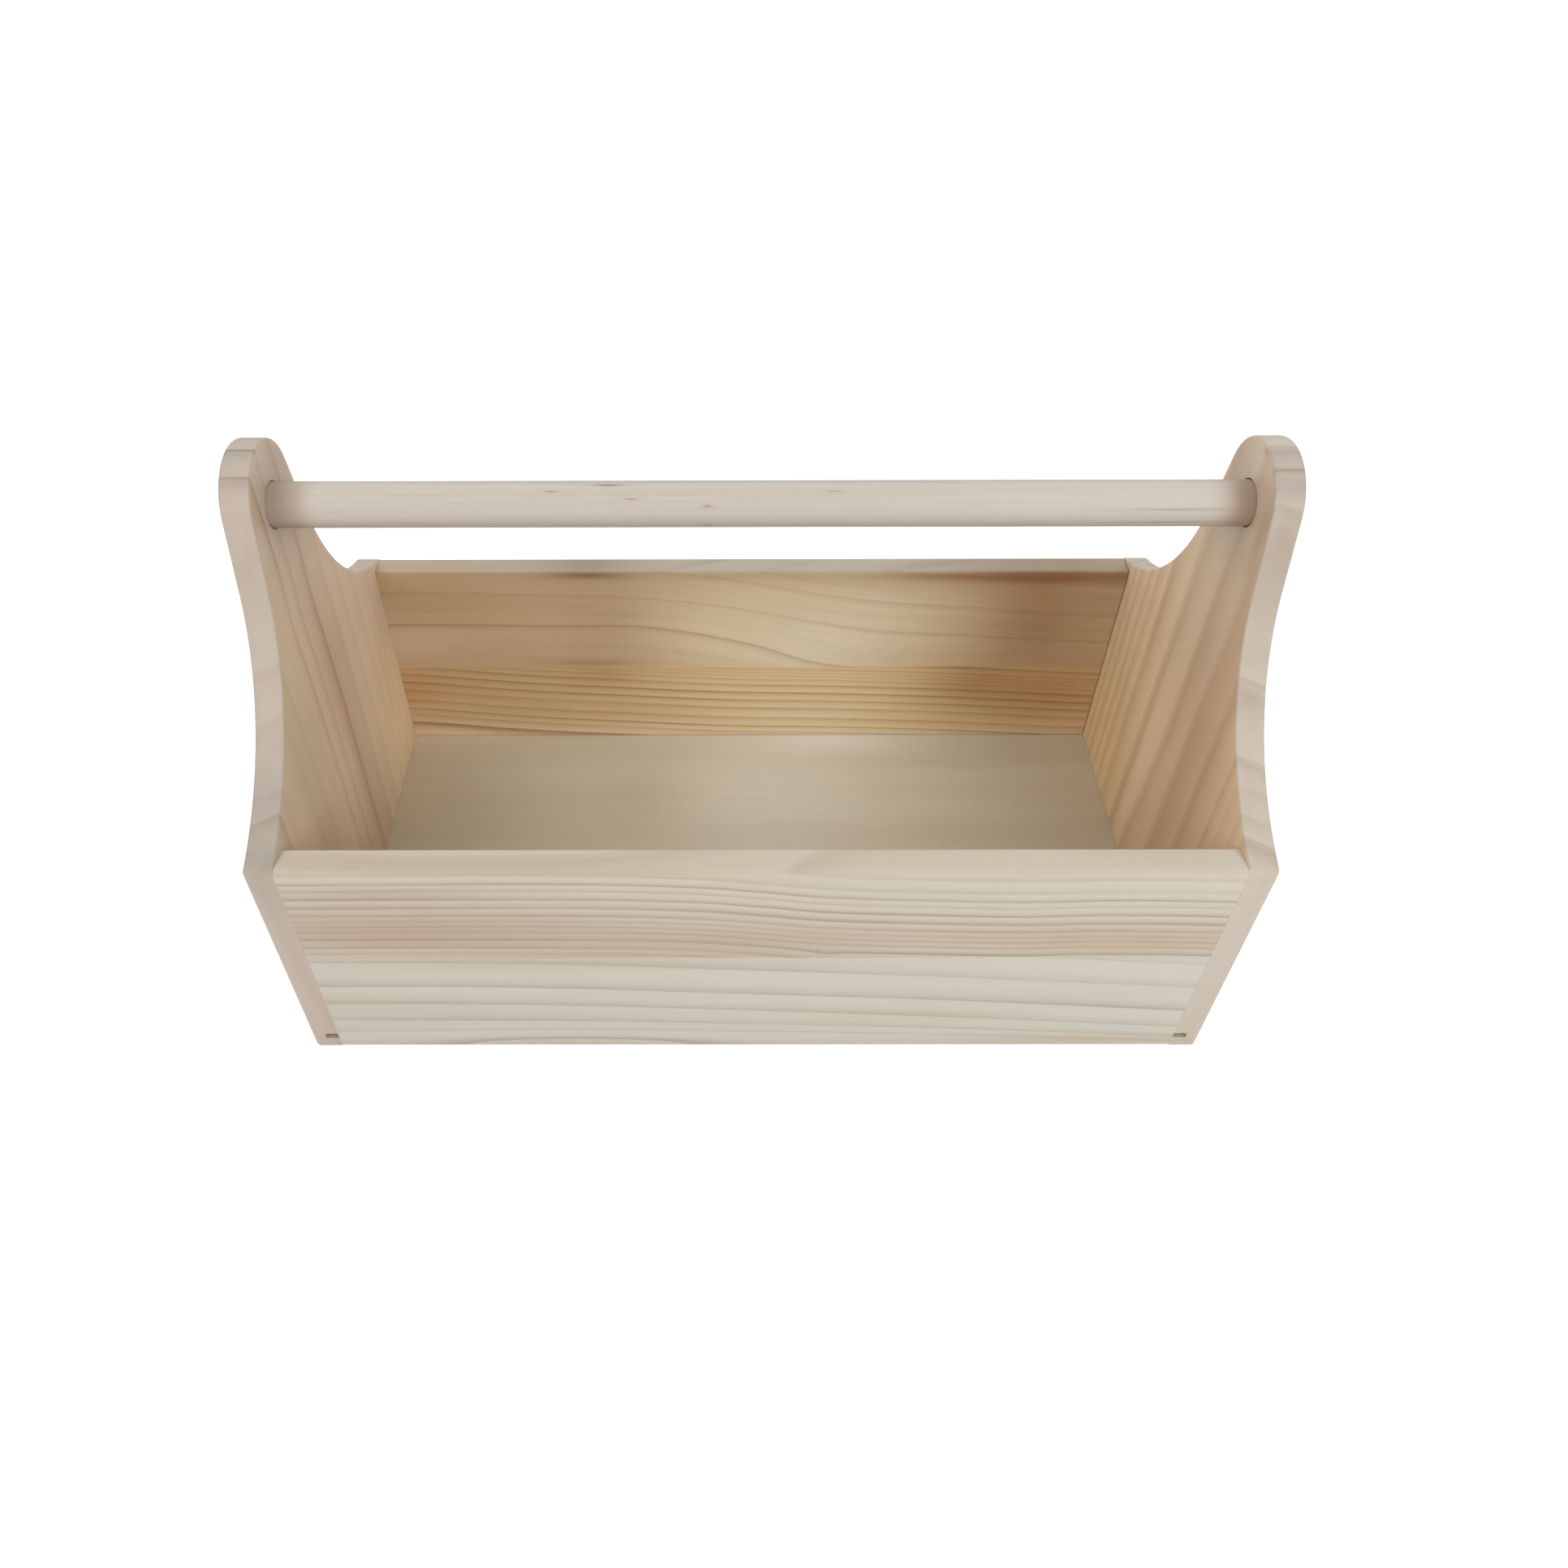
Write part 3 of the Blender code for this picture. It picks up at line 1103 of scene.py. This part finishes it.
@dataclass
class Handle(Workpiece):
    """The round handle. Lengths are in metres."""

    finish: Timber
    end: Rounding = Rounding(0.0008, 2)
    sides: int = 96

    def build(self) -> list[bpy.types.Object]:
        """Draw a circle out into the bar, round its ends and dress it.

        Returns:
            The handle.
        """
        low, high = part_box("handle_dowel")
        middle = (low + high) / 2
        clear()
        bpy.ops.mesh.primitive_circle_add(
            vertices=self.sides, radius=(high.z - low.z) / 2, fill_type="NGON",
            location=(low.x, middle.y, middle.z), rotation=Z_TO_X)
        self.begin("handle_bar")
        self.draw_out((high.x - low.x, 0.0, 0.0))
        for place in (low.x, high.x):
            self.round_edges(lambda at, x=place: near(at.x, x), self.end)
        return [self.dress("handle_dowel", "handle_wood", self.finish)]


@dataclass
class JointPins:
    """The hidden pins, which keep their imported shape."""

    finish: Timber
    nodes: dict[str, bpy.types.Object]

    def build(self) -> list[bpy.types.Object]:
        """Dress each pin.

        Returns:
            The pins.
        """
        material = self.finish.material()
        pins = [node for name, node in self.nodes.items() if name.endswith("_pin")]
        for pin in pins:
            pin.data.materials.clear()
            pin.data.materials.append(material)
        return pins


@dataclass(frozen=True)
class Lamp:
    """A soft square lamp. Lengths are in metres, power in watts."""

    name: str
    place: Place
    aim: Place
    size: float
    power: float
    colour: Colour = WHITE

    def hang(self) -> None:
        """Put the lamp in the scene."""
        data = bpy.data.lights.new(self.name, "AREA")
        data.shape = "SQUARE"
        data.size = self.size
        data.energy = self.power
        data.color = screen(self.colour)[:3]
        lamp = bpy.data.objects.new(self.name, data)
        bpy.context.scene.collection.objects.link(lamp)
        turn = (Vector(self.aim) - Vector(self.place)).to_track_quat("-Z", "Y")
        lamp.matrix_world = Matrix.Translation(self.place) @ turn.to_matrix().to_4x4()


@dataclass
class Studio:
    """The pale floor, the soft light and the camera. Lengths are in metres, angles in degrees."""

    lens: float = 27.59
    shift: Span = (0.0402, -0.0646)
    clip: Span = (0.01, 50.0)
    eye: Place = (-0.0135, -0.387, 0.494)
    down: float = 43.07
    yaw: float = 0.26
    roll: float = 0.27
    floor_size: float = 14.0
    floor_colour: Colour = (252, 252, 252)
    floor_rough: float = 0.85
    mottle: float = 0.01
    sky: Colour = WHITE
    sky_strength: float = 0.5
    lamps: tuple[Lamp, ...] = (
        Lamp("left_softbox", (-1.0, -1.0, 1.1), (0.0, 0.0, 0.1), 1.0, 11.5),
        Lamp("left_top_light", (-0.9, 0.0, 1.4), (0.0, 0.0, 0.1), 1.0, 6.5),
        Lamp("right_softbox", (1.0, -1.0, 1.1), (0.0, 0.0, 0.1), 1.0, 16.0),
        Lamp("right_top_light", (0.9, 0.0, 1.4), (0.0, 0.0, 0.1), 1.0, 3.5),
        Lamp("backdrop_light", (0.0, 2.2, 1.6), (0.0, 2.2, 0.0), 2.4, 45.0))

    def build(self) -> None:
        """Set the whole studio up."""
        self.lay_floor()
        self.light()
        self.point_camera()
        bpy.context.scene.view_settings.view_transform = "Standard"

    def lay_floor(self) -> None:
        """Lay a plain pale floor."""
        clear()
        bpy.ops.mesh.primitive_plane_add(size=self.floor_size)
        floor = settle("studio_floor")
        wiring = Wiring("studio_floor")
        here = [level / MM for level in wiring.split("Object")]
        mottle = FLOOR_MOTTLE.over(here, 0.0)
        pale = wiring.mixed(screen(self.floor_colour), screen(self.floor_colour), 0.0)
        pale = pale.times(1.0 + mottle * self.mottle)
        floor.data.materials.append(wiring.finish(pale, self.floor_rough, mottle, 0.0))

    def light(self) -> None:
        """Light the scene with a white sky and the lamps."""
        world = bpy.data.worlds.new("sky")
        world.use_nodes = True
        sky = world.node_tree.nodes["Background"]
        sky.inputs["Color"].default_value = screen(self.sky)
        sky.inputs["Strength"].default_value = self.sky_strength
        bpy.context.scene.world = world
        for lamp in self.lamps:
            lamp.hang()

    def point_camera(self) -> None:
        """Put the camera where the photograph was taken from."""
        data = bpy.data.cameras.new("camera")
        data.lens = self.lens
        data.shift_x, data.shift_y = self.shift
        data.clip_start, data.clip_end = self.clip
        camera = bpy.data.objects.new("camera", data)
        bpy.context.scene.collection.objects.link(camera)
        turn = Matrix.Rotation(radians(self.yaw), 4, "Z") @ Matrix.Rotation(radians(90 - self.down), 4, "X")
        roll = Matrix.Rotation(radians(-self.roll), 4, "Z")
        camera.matrix_world = Matrix.Translation(self.eye) @ turn @ roll
        bpy.context.scene.camera = camera


LEFT_END = Timber(
    name="left_end_pine",
    growth=Growth(
        grain=Grain.UPRIGHT,
        lines=(
            (-110, 0.3), (-95, 0.3), (-77.5, 0.9), (-69, 0.15), (-48, 0.35), (-36.5, 0.3), (-25.5, 0.25),
            (-15.6, 0.9), (-4.4, 0.7), (10.6, 1), (28.7, 0.5), (43, 0.45), (59, 0.2), (69, 0.2), (77, 0.35),
            (84, 0.3), (95, 0.3), (110, 0.3)),
        drift=(
            (0, -3), (30, -2.4), (60, -1.6), (90, -0.7), (150, -0.1), (168, -0.9), (190, 0.4), (212, 1.7),
            (255, 1.7)),
        spread=0.005),
    pale=(199, 179, 153), warm=(196, 170, 146), late=(134, 100, 72),
    # rim and outside: painted light and shade on the narrow sides and the outer face.
    contrast=0.6, edge=0.86, line=0.5, rim=(0.66, 0.72, 0.83), outside=(0.68, 0.73, 0.82),
    tones=(
        # Painted light: paler low down towards the back, against the shade deep in the tray.
        InnerTone(42, 70, 58, 42, (224, 202, 166), 0.9),
        InnerTone(80, -48, 60, 24, (172, 150, 126), 0.7),
        InnerTone(105, 9, 150, 16, (172, 148, 124), 0.75),
        InnerTone(18, -25, 40, 50, (166, 143, 118), 0.55),
        InnerTone(62, 66, 30, 12, (194, 174, 122), 0.4),
        InnerTone(165, -45, 70, 22, (174, 162, 130), 0.8),
        InnerTone(130, 12, 50, 22, (190, 156, 138), 0.4),
        # Painted shade: the head's inner face is darkened, to even out the light from top to bottom.
        InnerTone(236, 0, 64, 50, (159, 142, 124), 1),
        Tone(252.5, -4, 4, 7, (178, 168, 146), 0.6),
        Tone(138, -74, 24, 16, (176, 160, 140), 0.6),
        Tone(228, -13.9, 32, 0.4, (96, 78, 60), 0.9),
        Tone(253, -2.4, 4, 0.35, (96, 78, 60), 0.9),
        Tone(122, -94, 30, 10, (150, 142, 122), 0.5)),
    face=-188, inward=-1, seed=4)

RIGHT_END = Timber(
    name="right_end_pine",
    growth=Growth(
        grain=Grain.UPRIGHT,
        lines=(
            (-112, 0.4), (-100, 0.4), (-86, 0.9), (-77, 0.2), (-68, 0.3), (-60, 0.8), (-40.4, 0.9),
            (-20.2, 0.85), (-0.8, 0.9), (24.3, 1), (45, 1), (56.5, 0.55), (65, 0.7), (75.3, 0.8), (83, 0.55),
            (92, 0.5), (101, 0.4), (112, 0.4)),
        swells=(Swell(5, 4, 80, 24, 9),),
        spread=0.005, waver=0.6),
    pale=(212, 188, 156), warm=(204, 175, 142), late=(146, 108, 72),
    # rim and outside: painted light and shade on the narrow sides and the outer face.
    contrast=0.62, sharpness=2.2, edge=0.78, line=0.4, rim=(0.64, 0.75, 0.95), outside=(0.64, 0.75, 0.93),
    tones=(
        # Painted light: paler low down towards the back, against the shade deep in the tray.
        InnerTone(30, 62, 50, 45, (226, 194, 142), 0.8),
        InnerTone(60, 56, 60, 22, (196, 170, 122), 0.3),
        InnerTone(110, -50, 60, 30, (188, 152, 126), 0.5),
        InnerTone(84, -28, 95, 20, (172, 145, 120), 0.6),
        InnerTone(80, 15, 110, 7, (220, 200, 170), 0.6),
        InnerTone(162, -10, 30, 14, (174, 150, 126), 0.5),
        # Painted shade: the head's inner face is darkened, to even out the light from top to bottom.
        InnerTone(230, 0, 62, 50, (170, 155, 137), 1),
        InnerTone(224, -19, 20, 6, (156, 130, 108), 0.9),
        InnerTone(185, -36, 60, 14, (172, 142, 116), 0.7),
        InnerTone(251.2, -2.5, 1.2, 3.6, (104, 80, 62), 0.85),
        Tone(253.5, -5, 3.5, 7, (196, 174, 150), 0.85),
        Tone(245, -17, 13, 7, (172, 148, 124), 0.6),
        Tone(180, -38, 10, 5, (190, 165, 138), 0.5),
        Tone(249.6, -12.1, 2.5, 0.8, (126, 102, 80), 0.5)),
    face=188, seed=9)

FRONT_UPPER = Timber(
    name="front_upper_pine",
    growth=Growth(
        lines=(
            (60, 0.4), (66, 0.4), (71, 0.6), (75.2, 0.7), (81.1, 1), (86.1, 0.65), (89.9, 0.65), (93.4, 0.5),
            (97.1, 0.75), (102.2, 1), (108, 1), (113.2, 0.5), (117.6, 1), (122.6, 0.4), (130.3, 0.35),
            (137.5, 0.4), (145, 0.4)),
        outward=-1,
        drift=(
            (-188, 0), (-70, 0.2), (-35, -1), (0, -4.4), (35, -8.6), (70, -10.2), (105, -11.2), (140, -10.3),
            (188, -11.4)),
        swells=(Swell(28, 72, 8, 2.6, -1.6),),
        lean=0.25, waver=0.45),
    pale=(209, 199, 183), warm=(203, 191, 173), late=(138, 114, 90),
    # rim and outside: painted light and shade on the narrow sides and the outer face.
    contrast=0.85, sharpness=3, edge=0.84, line=0.6, rim=(0.672, 0.67, 0.65), outside=(0.715, 0.73, 0.748),
    tones=(
        Tone(-150, 112, 70, 8, (184, 168, 146), 0.8),
        Tone(-150, 87, 130, 22, (182, 158, 133), 1),
        Tone(-20, 81, 110, 13, (186, 165, 142), 0.8),
        Tone(150, 80, 120, 15, (190, 167, 140), 0.85),
        Tone(-70, 70, 150, 4, (190, 168, 140), 0.8)),
    face=-100, outer_depth=0, seed=15)

FRONT_LOWER = Timber(
    name="front_lower_pine",
    growth=Growth(
        lines=(
            (-20, 0.4), (-12, 0.4), (-4, 1), (10.9, 0.6), (20.4, 0.75), (33.9, 0.8), (47, 0.9), (64.9, 0.65),
            (82, 0.5), (98, 0.5)),
        outward=-1,
        drift=(
            (-188, 0), (-140, 0), (-105, -0.7), (-70, -1.9), (-35, -3.9), (0, -5.8), (35, -7.8), (70, -9.9),
            (105, -12.4), (140, -15.2), (175, -18), (188, -19)),
        fan=(12, 34), swells=(Swell(-80, 4, 78, 8, 9.2, firm=1.4),), lean=-0.2),
    pale=(211, 203, 191), warm=(205, 196, 182), late=(150, 134, 112),
    # rim and outside: painted light and shade on the narrow sides and the outer face.
    contrast=0.68, edge=0.93, line=0.15, rim=(0.684, 0.696, 0.705), outside=(0.684, 0.696, 0.705),
    tones=(
        Tone(-80, 0, 60, 5, (194, 184, 156), 0.8),
        Tone(-110, 64, 120, 6, (192, 182, 152), 0.7),
        Tone(-190, 36, 60, 12, (196, 187, 156), 0.6),
        Tone(60, 24, 60, 8, (204, 196, 168), 0.5),
        Tone(-140, 28, 80, 12, (196, 186, 170), 0.5),
        Tone(-200, 30, 45, 80, (196, 186, 174), 0.6),
        Tone(150, 5, 80, 5, (196, 172, 142), 0.6)),
    face=-100, outer_depth=0, seed=21)

BACK_UPPER = Timber(
    name="back_upper_pine",
    growth=Growth(
        lines=(
            (40, 0.2), (50, 0.2), (61, 0.12), (72, 0.12), (80.2, 0.15), (92, 1), (103.5, 0.1), (113, 0.65),
            (122.3, 0.15), (130.7, 0.65), (141, 0.25), (150, 0.4), (162, 0.3)),
        drift=(
            (-188, 0), (-140, -0.3), (-105, -1.5), (-70, -3), (-40, -5.4), (-20, -8), (0, -11.5), (35, -18.8),
            (70, -24.2), (105, -26.7), (140, -30), (175, -32.5), (188, -33)),
        swells=(Swell(50, 66, 70, 20, -9), Swell(-62, 88, 45, 14, 3)),
        lean=0.4),
    pale=(202, 180, 148), warm=(190, 158, 120), late=(128, 88, 54),
    contrast=0.62, sharpness=7, edge=0.88, line=0.45, streaks=0.1,
    # rim and outside: painted light and shade on the narrow sides and the outer face.
    rim=(0.58, 0.64, 0.75), outside=(0.7, 0.77, 0.88),
    tones=(
        # Painted light: a paler pool in the middle of the tray, as on the back lower strip and the floor.
        Tone(-12, 88, 75, 50, (210, 194, 164), 0.9),
        Tone(62, 98, 75, 50, (212, 198, 168), 0.9),
        InnerTone(38, 76, 55, 26, (222, 212, 188), 0.7),
        # Painted shade near the left end board.
        Tone(-175, 112, 50, 30, (188, 156, 120), 0.5),
        # Painted shadows: two soft upright shadows across the back of the tray.
        InnerTone(-76, 94, 42, 70, (172, 146, 112), 0.66),
        InnerTone(146, 98, 46, 80, (160, 124, 86), 0.8),
        InnerTone(-178, 80, 55, 20, (218, 200, 172), 0.45),
        InnerTone(-85, 64.5, 34, 3.5, (146, 114, 80), 0.55),
        Tone(150, 121.5, 80, 5.5, (128, 80, 50), 0.82),
        Tone(110, 122.5, 60, 2.5, (150, 104, 74), 0.7),
        InnerTone(-14, 122.5, 50, 4, (178, 154, 126), 0.6),
        Tone(0, 127, 70, 2.2, (172, 154, 128), 0.6),
        Tone(-82, 123.5, 28, 3.4, (130, 92, 64), 0.85)),
    face=88, seed=27)

BACK_LOWER = Timber(
    name="back_lower_pine",
    growth=Growth(
        lines=(
            (-8, 0.5), (8, 0.5), (20.2, 1), (26.3, 0.4), (30.5, 1), (37.3, 0.6), (44.8, 0.55), (50.5, 0.9),
            (56.3, 0.9), (61.9, 0.8), (65.9, 0.45), (68.6, 0.4), (70.8, 0.4), (73.5, 0.65), (78, 0.95),
            (84, 0.6), (90, 0.6)),
        drift=(
            (-188, 1), (-175, 0), (-140, -3.8), (-105, -6.9), (-70, -9), (-35, -11.4), (0, -13.1),
            (35, -13.8), (70, -14.9), (105, -16.4), (140, -18.5), (175, -20.8), (188, -21.5)),
        lean=-0.3, waver=0.35),
    pale=(206, 182, 140), warm=(196, 162, 114), late=(126, 82, 38),
    # rim and outside: painted light and shade on the narrow sides and the outer face.
    contrast=0.85, sharpness=3.2, edge=0.88, line=0.35, rim=(0.6, 0.67, 0.79), outside=(0.7, 0.785, 0.95),
    tones=(
        # Painted light: a paler pool in the middle of the tray.
        Tone(14, 36, 70, 60, (212, 190, 148), 0.8),
        Tone(60, 34, 65, 45, (220, 200, 158), 0.8),
        # Painted shadows: two soft upright shadows across the back of the tray.
        InnerTone(-80, 56, 30, 16, (174, 140, 96), 0.65),
        InnerTone(124, 50, 36, 22, (164, 120, 72), 0.65),
        # Painted light along the foot of the strip, against the shade in its corner with the floor.
        InnerTone(0, 10, 900, 13, (236, 214, 176), 0.5),
        InnerTone(-170, 12, 60, 16, (236, 214, 176), 0.6),
        InnerTone(178, 14, 30, 18, (226, 196, 152), 0.6),
        InnerTone(30, 24, 60, 8, (226, 216, 190), 0.35),
        InnerTone(-165, 34, 40, 9, (232, 208, 170), 0.4),
        # Painted shade near the end boards.
        Tone(-186, 46, 30, 26, (198, 146, 94), 0.5),
        Tone(160, 44, 45, 30, (176, 126, 76), 0.5)),
    face=88, seed=33)

FLOOR_SHEET = Timber(
    name="floor_sheet",
    growth=Growth(
        grain=Grain.FLAT,
        lines=((-120, 0.3), (-70, 0.3), (-20, 0.3), (30, 0.3), (80, 0.3), (120, 0.3)),
        waver=4),
    pale=(187, 178, 157), warm=(180, 167, 143), late=(163, 151, 126),
    contrast=0.3, sharpness=2, edge=0.7, rough=0.7,
    tones=(
        # Painted light: a paler pool in the middle of the tray.
        Tone(14, 44, 80, 70, (192, 186, 171), 0.8),
        # Painted shadow across the floor.
        Tone(-60, 40, 36, 50, (170, 160, 140), 0.7),
        # Painted light along the foot of the back panel.
        Tone(45, 88, 60, 18, (218, 214, 204), 0.7),
        Tone(-165, 90, 60, 16, (222, 204, 174), 0.7),
        # Painted shade at both ends, next to the end boards.
        Tone(-195, 20, 45, 120, (178, 158, 128), 0.5),
        Tone(195, 20, 45, 120, (178, 158, 128), 0.5)),
    face=9.5, inward=-1, seed=39)

HANDLE_WOOD = Timber(
    name="handle_wood",
    growth=Growth(
        grain=Grain.FLAT,
        lines=(
            (-9.5, 0.4), (-7.2, 0.8), (-5.4, 0.4), (-3.1, 0.6), (-1.6, 0.4), (0.9, 0.7), (3.3, 0.5), (6, 0.6),
            (9.5, 0.4)),
        lean=0.15),
    pale=(172, 164, 154), warm=(167, 157, 146), late=(145, 129, 112),
    contrast=0.35, sharpness=2, edge=0.8, rough=0.55,
    tones=(
        # Painted shade: both ends of the handle darken where they go into the end boards.
        Tone(-200, 0, 27, 90, (154, 134, 117), 0.85, firm=8),
        Tone(200, 0, 22.6, 90, (154, 128, 106), 0.9, firm=5),
        # Painted shade along the upper back side of the handle, which is turned away from the light.
        Tone(0, 3.6, 230, 4.6, (137, 137, 134), 0.8),
        Tone(-58, -0.5, 6, 0.55, (70, 50, 36), 1),
        Tone(-79.5, -3.6, 2.6, 0.34, (116, 92, 72), 0.9),
        Tone(-49, -6.2, 3.4, 0.26, (122, 98, 78), 0.8),
        Tone(-20, -7.9, 2, 0.24, (116, 96, 74), 0.8),
        Tone(28, -3.7, 3.6, 0.32, (128, 108, 88), 0.7),
        Tone(158, -8.5, 20, 0.14, (114, 90, 68), 0.5)),
    face=227, seed=45)

PIN_WOOD = Timber(
    name="pin_wood",
    growth=Growth(
        lines=tuple((place, 0.5) for place in range(0, 132, 3)),
        lean=0.2, waver=0.3),
    pale=(226, 202, 164), warm=(218, 190, 150), late=(188, 152, 110),
    contrast=0.5, sharpness=2, edge=0.8,
    face=0, seed=51)


def main() -> None:
    """Load the frame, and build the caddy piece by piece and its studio."""
    logging.basicConfig(level=logging.INFO, format="%(name)s: %(message)s")
    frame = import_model()
    assemblies = (
        EndPanel(Hand.LEFT, LEFT_END),
        EndPanel(Hand.RIGHT, RIGHT_END, bore_slack=0.0004, bore_shift=(-0.0001, 0.0001)),
        SidePanel(Facing.FRONT, FRONT_LOWER, FRONT_UPPER),
        SidePanel(Facing.BACK, BACK_LOWER, BACK_UPPER, right_gap=0.0004),
        FloorPanel(FLOOR_SHEET),
        Handle(HANDLE_WOOD),
        JointPins(PIN_WOOD, frame["nodes"]))
    for assembly in assemblies:
        for piece in assembly.build():
            LOG.info("built %s", piece.name)
    Studio().build()
    clear()


if __name__ == "__main__":
    main()
